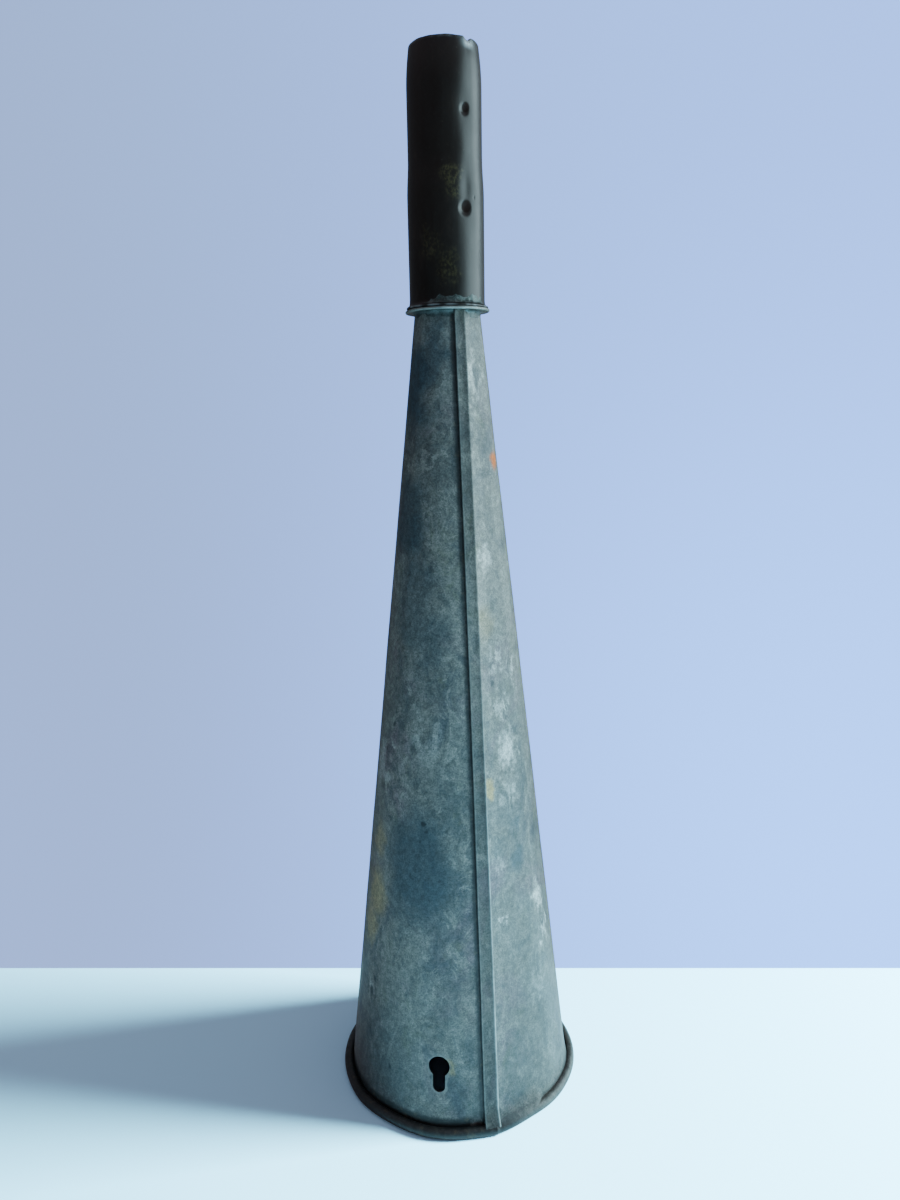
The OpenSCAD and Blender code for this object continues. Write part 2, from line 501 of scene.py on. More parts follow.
def seam_loop(z):
    """The folded seam's outline at height z, measured along and out from its flat face."""
    base = cone_radius(z) + SEAM_RISE
    left = edge_az(SEAM_LEFT, z) + math.degrees(0.13 * rough(9, z, 17) / base)
    right = edge_az(SEAM_RIGHT, z)
    a = point(base, left, z)
    b = point(base, right, z)
    along = (b - a).normalized()
    out = Vector((along.y, -along.x, 0))
    width = (b - a).length / MM
    ridge = ridge_height(z)
    hollow = -0.10 - 0.05 * rough(4, z, 30)
    outline = [(FOLD_R + 0.5, 0.02), (0.4 * width, hollow), (0.7 * width, hollow)]
    outline += [(width - 0.75, -0.02), (width - 0.45, 0.45 * ridge), (width - 0.2, 0.95 * ridge)]
    outline += [(width, ridge), (width + 0.25, 0.8 * ridge - 0.03), (width + 0.5, 0.3 * ridge - 0.16)]
    outline += [(width + 0.55, -0.6), (width - 0.5, -1.05), (0.5 * width, -1.1)]
    outline += [(FOLD_R + 0.3, -2 * FOLD_R - 0.02)]
    fold_steps = 8
    for k in range(fold_steps + 1):
        t = math.radians(mix(270, 90, k / fold_steps))
        outline.append((FOLD_R + FOLD_R * math.cos(t), FOLD_R * math.sin(t) - FOLD_R))
    loop = []
    for u, v in outline:
        co = a + (along * u + out * v) * MM
        r, az, _ = polar(co)
        depth = base - r
        own = smooth(RIM_LOW, RIM_HIGH, z)
        body = base + buckle(az, z) * own
        rim = mix(bead_shift(az), 0.0, own)
        r = mix(body + rim, flush_radius(az) + 0.14, flush_weight(max(z, FLUSH_Z))) - depth
        loop.append(point(r, az, z))
    return loop


def make_seam():
    """The lapped fold, from just under the ring down to the rim, where its end is tucked in."""
    levels = steps(RING_LOW - 0.1, FLUSH_TOP, 2.5) + steps(FLUSH_TOP, FLUSH_Z, 0.8) + [FLUSH_Z]
    loops = [seam_loop(z) for z in levels]
    tucked = []
    for co in loops[-1]:
        r, az, z = polar(co)
        tucked.append(point(r - 0.9, az, z - 0.6))
    loops.append(tucked)
    seam = loft("seam_fold", loops, sharp=50)

    # A painted highlight with wear along the ridge at the seam's right edge, where it catches the light,
    # fading out higher up; a faint one on the left fold.
    def wear_and_glint(r, az, z):
        from_right = math.radians(edge_az(SEAM_RIGHT, max(z, 5)) - az) * cone_radius(z)
        from_left = math.radians(az - edge_az(SEAM_LEFT, max(z, 5))) * cone_radius(z)
        ridge = hump(from_right, -0.05, 0.5) * (1 - smooth(60, 250, z)) * (0.8 + 0.5 * rough(6, z, 9))
        return max(ridge, 0.25 * hump(from_left, 0.35, 0.3))

    # Painted shadow with dirt along the fold's left edge, painted shade on the fold's underside, and darker
    # just below the ring.
    def dirt_and_shade(r, az, z):
        face_r = cone_radius(z) + SEAM_RISE
        from_left = math.radians(az - edge_az(SEAM_LEFT, max(z, 5))) * face_r
        edge = 0.8 * (1 - smooth(0.1, 0.45, from_left))
        deep = smooth(0.25, 0.8, face_r - r) if z > FLUSH_TOP else 0.0
        return max(edge, deep, 0.25 * smooth(CONE_TOP - 8, CONE_TOP, z))

    paint(seam, "dirt_and_shade", dirt_and_shade)
    paint(seam, "wear_and_glint", wear_and_glint)
    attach(seam, "root")
    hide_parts("side_seam")
    return seam


def make_seam_solder():
    """A thin lumpy run of solder behind the seam, on the inside of the cone."""
    loops = []
    side = 4
    for z in steps(CONE_TOP - 4, 8, 3):
        inner = cone_radius(z) - SHEET_T - 0.02
        middle = (edge_az(SEAM_LEFT, z) + edge_az(SEAM_RIGHT, z)) / 2
        half = math.degrees((1.25 + 0.7 * (1 - z / CONE_TOP) + 0.35 * rough(7, z, 12)) / inner)
        thick = 0.27 + 0.1 * rough(8, z, 8)
        loop = [point(inner, middle + half * k / side, z) for k in range(-side, side + 1)]
        for k in range(side, -side - 1, -1):
            rise = thick * (1 - (k / 4.6) ** 2)
            loop.append(point(inner - 0.03 - rise, middle + half * 0.97 * k / side, z))
        loops.append(loop)
    run = loft("seam_solder_run", loops)
    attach(run, "root")
    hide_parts("seam_solder")
    return run


# Collar

RING_DROOP = 0.42


def ring_droop(az):
    """How far the hand-cut ring's edge hangs down, most on its left side."""
    return RING_DROOP * (0.5 - 0.5 * math.sin(math.radians(az))) + 0.10 * wall_noise(11, az, 0, 22, 50)


def make_ring():
    """The flat ring. Its outline is in shares of its breadth and thickness, with a round edge."""
    loops = []
    outline = [(0.02, 0.0), (0.4, 0.0), (0.75, 0.0)]
    edge_steps = 8
    for k in range(edge_steps + 1):
        a = math.radians(mix(-90, 90, k / edge_steps))
        outline.append((0.86 + 0.14 * math.cos(a), 0.5 + 0.5 * math.sin(a)))
    outline += [(0.75, 1.0), (0.4, 1.0), (0.02, 1.0)]
    thick = RING_HIGH - RING_LOW
    for az in steps(-180, 180, 2.5):
        reach = RING_R - 0.06 - NECK_R + 0.14 * wall_noise(12, az, 0, 18, 50)
        ring = []
        for u, v in outline:
            droop = ring_droop(az) * smooth(0.45, 1.0, u)
            ring.append(point(NECK_R + reach * u, az, RING_LOW + thick * v - droop))
        loops.append(ring)
    ring = loft("collar_disc", loops, "ring")

    def wear_and_glint(r, az, z):
        return 0.6 * smooth(RING_R - 0.7, RING_R - 0.1, r) * (0.7 + 0.6 * wall_noise(13, az, z, 9, 9))

    # A painted shadow line on the ring's top just inside its edge, where the tube's lip sits on it.
    def dirt_and_shade(r, az, z):
        return 0.9 * smooth(RING_HIGH - 0.35, RING_HIGH - 0.05, z + ring_droop(az)) * (r < RING_R - 0.4)

    paint(ring, "dirt_and_shade", dirt_and_shade)
    paint(ring, "wear_and_glint", wear_and_glint)
    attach(ring, "root")
    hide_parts("collar_ring")
    return ring


def make_collar_solder():
    """The uneven hollow fillet between the cone and the underside of the ring."""
    loops = []
    hollow_steps = 8
    for az in steps(-180, 180, 2):
        wide = 1.55 + 0.35 * wall_noise(14, az, 0, 14, 50) + 0.2 * wall_noise(15, az, 0, 5, 50)
        tall = 2.5 + 0.9 * wall_noise(16, az, 0, 12, 50) + 0.3 * wall_noise(17, az, 0, 4, 50)
        top = RING_LOW + 0.05
        ring = [point(NECK_R - 0.2, az, top), point(NECK_R - 0.2, az, top - tall)]
        for k in range(hollow_steps + 1):
            a = math.radians(90 * k / hollow_steps)
            z = top - tall * (1 - math.sin(a))
            surface = cone_radius(min(z, CONE_TOP)) - 0.05
            ring.append(point(surface + wide * (1 - math.cos(a)), az, z))
        loops.append(ring)
    solder = loft("collar_fillet", loops, "ring")
    paint(solder, "dirt_and_shade", lambda r, az, z: 0.35 + 0.4 * wall_noise(18, az, z, 8, 3))
    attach(solder, "root")
    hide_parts("collar_solder")
    return solder


# Spout tube

FLARE_Z = LIP_Z + 2.7
FLARE_H = 1.78
FLARE_R = LIP_R - 0.22
# Heights between which the tube narrows from TUBE_R to UPPER_R, and where its tip starts to
NARROWING = (400.0, 415.0)
SWAGE_Z = TIP_Z - 16
NICK_AZ = 43
NICK_DEPTH = 1.2
# Height, azimuth, radius and depth of the punched dimples
DIMPLES = ((394.0, 30.3, 3.6, 1.0), (430.5, 32.3, 2.8, 0.8))
# Height and azimuth of the soft crease above the lower dimple, and of the small pit beside it
CREASE = (402.5, 33)
PIT = (398.5, 47)


def tube_body(z):
    """Outside radius of the plain tube."""
    return mix(TUBE_R, UPPER_R, smooth(*NARROWING, z))


def tube_outside(z):
    """Outside radius of the tube above its flared foot, with its drawn-in tip."""
    if z < SWAGE_Z:
        return tube_body(z)
    t = (z - SWAGE_Z) / (TIP_Z - 0.4 - SWAGE_Z)
    return UPPER_R - (UPPER_R - TIP_R) * (1 - math.cos(math.radians(60 * min(t, 1)))) * 2


def tube_dent(az, z):
    """Depth of the dimples with the soft hollows round them, of the crease, the pit and slight flats."""
    depth = 0.0
    for dimple_z, dimple_az, radius, deep in DIMPLES:
        u = arc(az, dimple_az, TUBE_R)
        d = math.hypot(u, z - dimple_z)
        depth += deep * (1 - smooth(0.05 * radius, radius, d))
        soft = math.hypot(u / 0.8, (z - dimple_z) / 1.5)
        depth += 0.40 * math.exp(-((soft / (1.7 * radius)) ** 2))
    crease = math.hypot(arc(az, CREASE[1], TUBE_R) / 2.6, (z - CREASE[0]) / 7)
    depth += 0.45 * math.exp(-crease ** 2)
    pit = math.hypot(arc(az, PIT[1], TUBE_R), z - PIT[0])
    depth += 0.25 * (1 - smooth(0.1, 0.8, pit))
    depth += 0.05 * wall_noise(21, az, z, 40, 35) + 0.05
    return depth


def nick_depth(az):
    """How far the tip's edge lies below its full height: a soft nick and a little unevenness."""
    away = abs(turn(az - NICK_AZ))
    return NICK_DEPTH * (1 - smooth(2.5, 9.5, away)) + 0.15 * wall_noise(23, az, 0, 14, 50)


def tube_loop(az):
    """The tube's outline at one azimuth: its lip, the outside up to the tip, and the bore down again."""
    loop = []

    def add(r, z):
        cut_z = nick_depth(az) * smooth(TIP_Z - 9, TIP_Z, z)
        loop.append(point(r, az, z - cut_z))

    edge = 0.10 * wall_noise(24, az, 0, 12, 50)
    add(TUBE_R - TUBE_T, LIP_Z)
    add(TUBE_R, LIP_Z)
    add(LIP_R - 0.2 + edge, LIP_Z)
    add(LIP_R + edge - 0.05, LIP_Z + 0.15)
    add(LIP_R + edge, LIP_Z + 0.45)
    add(LIP_R + edge - 0.05, LIP_Z + 0.75)
    add(FLARE_R + edge, LIP_Z + 0.92)
    flare_steps = 6
    for k in range(1, flare_steps + 1):
        a = math.radians(90 * k / flare_steps)
        add(TUBE_R + (FLARE_R - TUBE_R) * (1 - math.sin(a)), FLARE_Z - FLARE_H * math.cos(a))
    levels = steps(FLARE_Z + 1, 384, 2) + steps(384, 404, 0.5) + steps(404, 423, 1.5)
    levels += steps(423, 438, 0.5) + steps(438, TIP_Z - 0.4, 1)
    for z in levels:
        add(tube_outside(z) - tube_dent(az, z), z)
    add(TIP_R - 0.02, TIP_Z - 0.4)
    add(TIP_R - 0.18, TIP_Z - 0.12)
    add(TIP_R - 0.5, TIP_Z)
    add(TIP_R - TUBE_T + 0.25, TIP_Z)
    add(TIP_R - TUBE_T, TIP_Z - 0.25)
    for z in (TIP_Z - 3, TIP_Z - 6):
        add(TIP_R - TUBE_T, z)
    levels = [SWAGE_Z] + steps(438, 423, 1) + steps(423, 404, 3)
    levels += steps(404, 384, 1) + steps(384, LIP_Z, 4)
    for z in levels:
        dent = 0.0
        for dimple_z, dimple_az, radius, deep in DIMPLES:
            away = math.hypot(arc(az, dimple_az, TUBE_R), z - dimple_z)
            dent += deep * math.exp(-((away / radius) ** 2))
        add(tube_body(z) - TUBE_T - dent, z)
    return loop


def make_tube():
    """The spout, with finer columns round the dimples and the nick."""
    azimuths = steps(-180, 8, 2.6) + steps(8, 58, 0.9) + steps(58, 180, 2.6)
    loops = [tube_loop(az) for az in azimuths]
    tube = loft("spout_pipe", loops, "ring", sharp=45)

    # Worn bright metal on the lip's edge; worn metal with a painted highlight along the tip's edge and in
    # the nick.
    def wear_and_glint(r, az, z):
        lip = 0.5 * smooth(LIP_R - 0.45, LIP_R, r) * smooth(-0.2, 0.6, wall_noise(25, az, z, 9, 9) + 0.2)
        top = TIP_Z - nick_depth(az)
        tip = 0.5 * smooth(top - 0.8, top - 0.1, z)
        nick = hump(turn(az - NICK_AZ), 0, 9) * smooth(TIP_Z - 5, TIP_Z - 2.2, z)
        return max(lip, tip * (0.5 + wall_noise(26, az, z, 10, 9)), nick)

    # Painted shade with dirt in the upper right part of each dimple, and a painted shadow line at the foot
    # of the lip.
    def dirt_and_shade(r, az, z):
        dimple_shade_and_dirt = 0.0
        for dimple_z, dimple_az, radius, _ in DIMPLES:
            inner = math.hypot(arc(az, dimple_az, TUBE_R) - 0.8, (z - dimple_z - 0.9) / 1.1)
            dimple_shade_and_dirt = max(dimple_shade_and_dirt, 1 - smooth(0.40 * radius, 0.78 * radius, inner))
        return max(dimple_shade_and_dirt, 0.7 * (1 - smooth(LIP_Z + 0.1, LIP_Z + 0.5, z)))

    paint(tube, "dirt_and_shade", dirt_and_shade)
    paint(tube, "wear_and_glint", wear_and_glint)
    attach(tube, "root")
    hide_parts("spout_tube")
    return tube


SMEAR_SPAN = (-36, 74)
SMEAR_LOW = FLARE_Z - 1.5


def smear_surface(az, z):
    """Outside radius of the smear. Where it is thin it dips under the tube's own surface."""
    flare = max(0.0, (FLARE_Z - z) / 1.8)
    surface = TUBE_R + (FLARE_R - TUBE_R) * flare ** 2
    side = smooth(-34, -14, az) * (1 - smooth(52, 70, az))
    edge = 2.4 + 2.4 * wall_noise(27, az, 0, 7, 50)
    up = 1 - smooth(FLARE_Z - 0.6, FLARE_Z + max(0.4, edge), z)
    lumps = 0.5 * wall_noise(28, az, z, 7, 3) + 0.3 * wall_noise(29, az, z, 3, 1.5)
    thick = 0.46 * side * up * (0.9 + lumps) - 0.17
    return surface + min(0.36, max(-0.3, thick))


def make_lip_solder():
    """A thin irregular smear of solder on the foot of the tube, over part of the way round."""
    levels = [SMEAR_LOW + 0.28 * k for k in range(19)]
    loops = []
    for az in steps(*SMEAR_SPAN, 1) + [SMEAR_SPAN[1]]:
        loop = [point(smear_surface(az, z), az, z) for z in levels]
        loop += [point(TUBE_R - 0.4, az, z) for z in reversed(levels)]
        loops.append(loop)
    smear = loft("lip_smear", loops)

    def dirt_and_shade(r, az, z):
        patches = 0.2 + 0.9 * wall_noise(30, az, z, 10, 3)
        # Darker on the left side: painted shade.
        left = 0.5 * smooth(30, -15, az)
        return patches + left + smooth(1.4, 3.4, z - FLARE_Z)

    paint(smear, "dirt_and_shade", dirt_and_shade)
    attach(smear, "root")
    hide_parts("lip_solder")
    return smear


# Materials

class Paint:
    """A node material with one Principled shader, built from short calls."""

    def __init__(self, name):
        self.material = bpy.data.materials.new(name)
        self.material.use_nodes = True
        self.nodes = self.material.node_tree.nodes
        self.links = self.material.node_tree.links
        self.nodes.clear()
        out = self.nodes.new("ShaderNodeOutputMaterial")
        self.shader = self.nodes.new("ShaderNodeBsdfPrincipled")
        self.links.new(self.shader.outputs[0], out.inputs[0])
        self.place = self.nodes.new("ShaderNodeTexCoord").outputs["Object"]

    def feed(self, socket, value):
        if isinstance(value, bpy.types.NodeSocket):
            self.links.new(value, socket)
        elif isinstance(value, tuple) and len(value) == 3 and len(socket.default_value) == 4:
            socket.default_value = (*value, 1.0)
        else:
            socket.default_value = value

    def scaled(self, stretch, shift):
        """The place on the object, in metres, scaled by stretch and moved by shift."""
        node = self.nodes.new("ShaderNodeMapping")
        self.feed(node.inputs["Vector"], self.place)
        node.inputs["Scale"].default_value = stretch
        node.inputs["Location"].default_value = (shift, 0.7 * shift, -shift)
        return node.outputs[0]

    def noise(self, scale, detail, roughness, stretch=(1, 1, 1), seed=0.0, warp=0.0):
        node = self.nodes.new("ShaderNodeTexNoise")
        self.feed(node.inputs["Vector"], self.scaled(stretch, seed))
        node.inputs["Scale"].default_value = scale
        node.inputs["Detail"].default_value = detail
        node.inputs["Roughness"].default_value = roughness
        node.inputs["Distortion"].default_value = warp
        return node.outputs["Fac"]

    def cells(self, scale, stretch, seed):
        """Distance to the nearest of many scattered points."""
        node = self.nodes.new("ShaderNodeTexVoronoi")
        self.feed(node.inputs["Vector"], self.scaled(stretch, seed))
        node.inputs["Scale"].default_value = scale
        return node.outputs["Distance"]

    def span(self, value, low, high, to_low=0.0, to_high=1.0):
        """value moved smoothly from low..high to to_low..to_high."""
        node = self.nodes.new("ShaderNodeMapRange")
        node.interpolation_type = "SMOOTHSTEP"
        self.feed(node.inputs[0], value)
        for socket, number in zip(node.inputs[1:5], (low, high, to_low, to_high)):
            socket.default_value = number
        return node.outputs[0]

    def maths(self, operation, a, b):
        node = self.nodes.new("ShaderNodeMath")
        node.operation = operation
        node.use_clamp = operation in ("MULTIPLY", "ADD", "SUBTRACT")
        self.feed(node.inputs[0], a)
        self.feed(node.inputs[1], b)
        return node.outputs[0]

    def vectors(self, operation, *values):
        node = self.nodes.new("ShaderNodeVectorMath")
        node.operation = operation
        for socket, value in zip(node.inputs, values):
            self.feed(socket, value)
        return node.outputs["Value" if operation == "LENGTH" else "Vector"]

    def blend(self, amount, a, b, kind="MIX"):
        node = self.nodes.new("ShaderNodeMix")
        node.data_type = "RGBA"
        node.blend_type = kind
        self.feed(node.inputs[0], amount)
        self.feed(node.inputs[6], a)
        self.feed(node.inputs[7], b)
        return node.outputs[2]

    def shade(self, colour, factor):
        return self.blend(1.0, colour, factor, "MULTIPLY")

    def mask(self, name):
        node = self.nodes.new("ShaderNodeAttribute")
        node.attribute_name = name
        return node.outputs["Fac"]

    def spots(self, places, warp_scale, warp, tall):
        """A mask of soft ragged patches, each tall times as high as it is wide.

        Each place is (azimuth, height, radius, strength). warp is how far noise moves a patch's
        edge, in metres.
        """
        wave = self.nodes.new("ShaderNodeTexNoise")
        self.feed(wave.inputs["Vector"], self.place)
        wave.inputs["Scale"].default_value = warp_scale
        wave.inputs["Detail"].default_value = 4.0
        moved = self.vectors("MULTIPLY_ADD", wave.outputs["Color"], Vector((2, 2, 2)) * warp, self.place)
        total = None
        for az, z, radius, strength in places:
            surface = sheet_radius(az, z) if z < CONE_TOP else tube_outside(z)
            centre = point(surface, az, z) + Vector((1, 1, 1)) * warp
            apart = self.vectors("SUBTRACT", moved, centre)
            distance = self.vectors("LENGTH", self.vectors("MULTIPLY", apart, (1, 1, 1 / tall)))
            spot = self.span(distance, radius * MM, 0.35 * radius * MM, 0.0, strength)
            total = spot if total is None else self.maths("MAXIMUM", total, spot)
        return total

    def height(self):
        """Height above the table, in metres."""
        node = self.nodes.new("ShaderNodeSeparateXYZ")
        self.feed(node.inputs[0], self.place)
        return node.outputs["Z"]

    def bump(self, height, strength, distance, below=None):
        node = self.nodes.new("ShaderNodeBump")
        node.inputs["Strength"].default_value = strength
        node.inputs["Distance"].default_value = distance
        self.feed(node.inputs["Height"], height)
        if below is not None:
            self.feed(node.inputs["Normal"], below)
        return node.outputs[0]

    def done(self, colour, roughness, metallic, normal, specular=0.5):
        self.feed(self.shader.inputs["Base Color"], colour)
        self.feed(self.shader.inputs["Roughness"], roughness)
        self.feed(self.shader.inputs["Metallic"], metallic)
        self.feed(self.shader.inputs["Normal"], normal)
        self.feed(self.shader.inputs["Specular IOR Level"], specular)
        return self.material


# Azimuth, height, radius and strength of the marks on the cone
RUST_SPOTS = [(67, 294, 4.2, 1.0), (-150, 120, 4.0, 0.8), (-168, 250, 2.5, 0.7), (140, 60, 3.0, 0.7)]
TAN_SPOTS = [(24, 155, 4.2, 1.0), (-61, 100, 11, 0.7), (-66, 84, 9, 0.65), (-5, 31, 3.6, 0.6),
             (-62, 126, 8, 0.45), (30, 226, 7, 0.3), (150, 200, 10, 0.4), (-120, 300, 8, 0.4)]
WHITE_SPOTS = [(45, 169, 8.0, 1.0), (29.5, 94, 3.4, 1.0), (62, 97, 7.0, 1.0), (66, 80, 6, 0.9),
               (38, 210, 6, 0.6), (36, 255, 6, 0.6), (40, 150, 7, 0.5), (43, 189, 6, 0.9),
               (57, 205, 5, 0.7), (-60, 53, 5, 0.6), (160, 140, 9, 0.8), (-160, 70, 7, 0.7),
               (-52, 172, 4, 0.5), (-58, 160, 13, 0.35), (-20, 176, 10, 0.2), (33, 330, 8, 0.5),
               (30, 120, 5, 0.4), (52, 60, 8, 0.3)]
DARK_SPOTS = [(-26, 118, 23, 0.85), (-22, 222, 13, 0.5), (-45, 22, 26, 0.3), (-55, 270, 15, 0.8),
              (-40, 240, 16, 0.5), (44, 118, 6, 0.8), (33, 190, 2.4, 0.9), (-55, 325, 17, 1.0),
              (-22, 338, 11, 0.8), (60, 45, 12, 0.25), (-30, 225, 12, 0.5), (46, 132, 4, 0.6),
              (170, 100, 22, 0.7), (-120, 180, 22, 0.7), (120, 260, 15, 0.6)]
DOTS = [(-22, 140, 1.3, 1.0), (-19.5, 137, 1.0, 0.9), (-24, 132, 1.0, 0.8), (33.4, 200, 1.6, 0.9),
        (-39, 24, 1.3, 0.9), (-14.5, 26, 1.2, 0.8), (-59, 53, 2.4, 0.8), (-56, 60, 1.4, 0.8),
        (-52, 181, 1.4, 0.7), (44, 131, 2.8, 0.5), (46.5, 126, 2.4, 0.45), (41, 121, 1.6, 0.4)]
# The same for the olive patches on the tube
OLIVE_SPOTS = [(10, 404, 6, 0.8), (4, 372, 6, 0.6), (-24, 380, 6, 0.5), (150, 400, 8, 0.6)]


def zinc(name, light, warm, spotted):
    """Old galvanised sheet: mottled teal grey, white bloom, stains, and dirt where it collects, which also
    paints shade in grooves and gaps; worn metal also paints highlights on edges, and the foot is painted
    darker as shade.

    light scales its brightness, warm shifts it from blue to red, and spotted adds the cone's marks. The
    darker copies for the seam and the ring paint shade.
    """
    coat = Paint(name)
    broad = coat.noise(17, 4.0, 0.6, (1, 1, 0.55), 1.3, 0.4)
    middle = coat.noise(75, 6.0, 0.68, (1, 1, 0.7), 4.1, 0.6)
    patch = coat.noise(115, 7.0, 0.70, (1, 1, 0.6), 21.5, 1.2)
    fine = coat.noise(420, 5.0, 0.7, seed=2.7)
    grain = coat.noise(1500, 3.0, 0.7, seed=6.2)
    streak = coat.noise(140, 4.0, 0.6, (1, 1, 0.06), 8.8)

    def tone(r, g, b):
        return (r * light * warm, g * light, b * light / warm)

    colour = coat.blend(coat.span(broad, 0.38, 0.62), tone(0.090, 0.102, 0.100), tone(0.150, 0.156, 0.142))
    colour = coat.blend(coat.span(middle, 0.40, 0.68, 0.0, 0.8), colour, tone(0.178, 0.182, 0.162))
    violet = coat.noise(26, 4.0, 0.6, (1, 1, 0.8), 11.7, 0.8)
    colour = coat.blend(coat.span(violet, 0.50, 0.68, 0.0, 0.7), colour, tone(0.150, 0.116, 0.132))
    deep = coat.noise(34, 5.0, 0.65, (1, 1, 0.7), 15.2, 0.8)
    colour = coat.blend(coat.span(deep, 0.54, 0.68, 0.0, 0.65), colour, tone(0.036, 0.050, 0.066))
    olive = coat.noise(60, 5.0, 0.65, (1, 1, 0.7), 31.0, 0.8)
    colour = coat.blend(coat.span(olive, 0.56, 0.70, 0.0, 0.5), colour, tone(0.095, 0.110, 0.065))
    colour = coat.blend(coat.span(streak, 0.5, 0.75, 0.0, 0.35), colour, tone(0.160, 0.180, 0.170))
    colour = coat.blend(coat.span(patch, 0.55, 0.59, 0.0, 0.55), colour, tone(0.23, 0.24, 0.22))
    colour = coat.blend(coat.span(patch, 0.46, 0.38, 0.0, 0.45), colour, tone(0.036, 0.050, 0.058))
    if spotted:
        colour = coat.blend(coat.spots(DARK_SPOTS, 60, 0.012, 1.6), colour, tone(0.030, 0.055, 0.070))
        colour = coat.blend(coat.spots(TAN_SPOTS, 160, 0.005, 1.5), colour, tone(0.34, 0.27, 0.13))
        white = coat.spots(WHITE_SPOTS, 240, 0.010, 1.4)
        white = coat.maths("MULTIPLY", white, coat.span(patch, 0.42, 0.54))
        colour = coat.blend(white, colour, tone(0.46, 0.50, 0.48))
        colour = coat.blend(coat.spots(RUST_SPOTS, 300, 0.002, 1.3), colour, tone(0.46, 0.105, 0.014))
        colour = coat.blend(coat.spots(DOTS, 300, 0.0015, 1.4), colour, tone(0.012, 0.020, 0.025))
    speck = coat.span(coat.cells(700, (1, 1, 0.8), 3.0), 0.10, 0.22, 0.5, 0.0)
    speck = coat.maths("MULTIPLY", speck, coat.span(middle, 0.35, 0.6))
    colour = coat.blend(speck, colour, tone(0.020, 0.032, 0.036))
    colour = coat.shade(colour, coat.span(fine, 0.30, 0.70, 0.70, 1.30))
    # Darker towards the bottom: painted shade at the foot of the cone.
    colour = coat.shade(colour, coat.span(coat.height(), 0.01, 0.12, 0.76, 1.0))
    colour = coat.shade(colour, coat.span(grain, 0.30, 0.70, 0.66, 1.34))
    # Bright bare metal where worn, which also paints highlights on ridges, corners and edges.
    wear_and_glint = coat.maths("MULTIPLY", coat.mask("wear_and_glint"), coat.span(fine, 0.25, 0.6, 0.55, 1.0))
    colour = coat.blend(wear_and_glint, colour, (0.26, 0.31, 0.30))
    # Dirt, which also paints shade and shadow in grooves, gaps and under edges.
    dirt_and_shade = coat.maths("MULTIPLY", coat.mask("dirt_and_shade"), coat.span(fine, 0.2, 0.75, 1.2, 0.85))
    rusty = coat.noise(260, 3.0, 0.6, seed=19.0)
    grime_and_shade = coat.blend(coat.span(rusty, 0.57, 0.72, 0.0, 0.5), (0.004, 0.007, 0.008), (0.050, 0.042, 0.022))
    colour = coat.blend(dirt_and_shade, colour, grime_and_shade)
    level = coat.span(middle, 0.3, 0.75, 0.50, 0.66)
    level = coat.maths("SUBTRACT", level, coat.maths("MULTIPLY", wear_and_glint, 0.15))
    metal = coat.span(broad, 0.3, 0.7, 0.45, 0.30)
    metal = coat.maths("SUBTRACT", metal, coat.maths("MULTIPLY", dirt_and_shade, 0.3))
    normal = coat.bump(middle, 0.35, 0.0006)
    normal = coat.bump(fine, 0.35, 0.0002, normal)
    normal = coat.bump(grain, 0.25, 0.00006, normal)
    return coat.done(colour, level, metal, normal, 0.45)


def black_steel():
    """Blackened steel worn brown in patches, with a satin face, dull dirt with painted shade in its dimples
    and at its foot, and worn bright metal with painted highlights at its tip and nick.
    """
    coat = Paint("black_steel_worn")
    broad = coat.noise(30, 4.0, 0.6, (1, 1, 0.4), 1.0, 0.5)
    middle = coat.noise(160, 5.0, 0.65, (1, 1, 0.5), 3.0, 0.4)
    fine = coat.noise(900, 3.0, 0.6, (1, 1, 0.8), 5.0)
    lines = coat.noise(500, 2.0, 0.5, (1, 1, 0.03), 7.0)
    colour = coat.blend(coat.span(broad, 0.35, 0.65), (0.0012, 0.0011, 0.0010), (0.0040, 0.0027, 0.0020))
    colour = coat.blend(coat.span(middle, 0.56, 0.76, 0.0, 0.6), colour, (0.014, 0.008, 0.005))
    colour = coat.blend(coat.span(fine, 0.62, 0.80, 0.0, 0.5), colour, (0.032, 0.027, 0.020))
    olive = coat.spots(OLIVE_SPOTS, 200, 0.006, 1.6)
    olive = coat.maths("MULTIPLY", olive, coat.span(fine, 0.4, 0.65))
    colour = coat.blend(olive, colour, (0.036, 0.030, 0.012))
    # Worn bright metal, which also paints highlights at the tip and the nick.
    wear_and_glint = coat.maths("MULTIPLY", coat.mask("wear_and_glint"), coat.span(middle, 0.2, 0.6, 0.5, 1.0))
    colour = coat.blend(wear_and_glint, colour, (0.30, 0.33, 0.34))
    # Dirt, which also paints shade in the dimples and a shadow line at the lip's foot.
    dirt_and_shade = coat.mask("dirt_and_shade")
    colour = coat.blend(coat.maths("MULTIPLY", dirt_and_shade, 0.9), colour, (0.012, 0.006, 0.005))
    level = coat.span(middle, 0.3, 0.7, 0.29, 0.38)
    level = coat.maths("ADD", level, coat.span(lines, 0.3, 0.8, 0.0, 0.06))
    level = coat.maths("ADD", level, coat.maths("MULTIPLY", dirt_and_shade, 0.3))
    metal = coat.maths("MULTIPLY", wear_and_glint, 0.7)
    normal = coat.bump(lines, 0.10, 0.00005)
    normal = coat.bump(middle, 0.25, 0.00012, normal)
    normal = coat.bump(fine, 0.25, 0.00004, normal)
    return coat.done(colour, level, metal, normal, coat.span(dirt_and_shade, 0.0, 0.9, 0.30, 0.05))


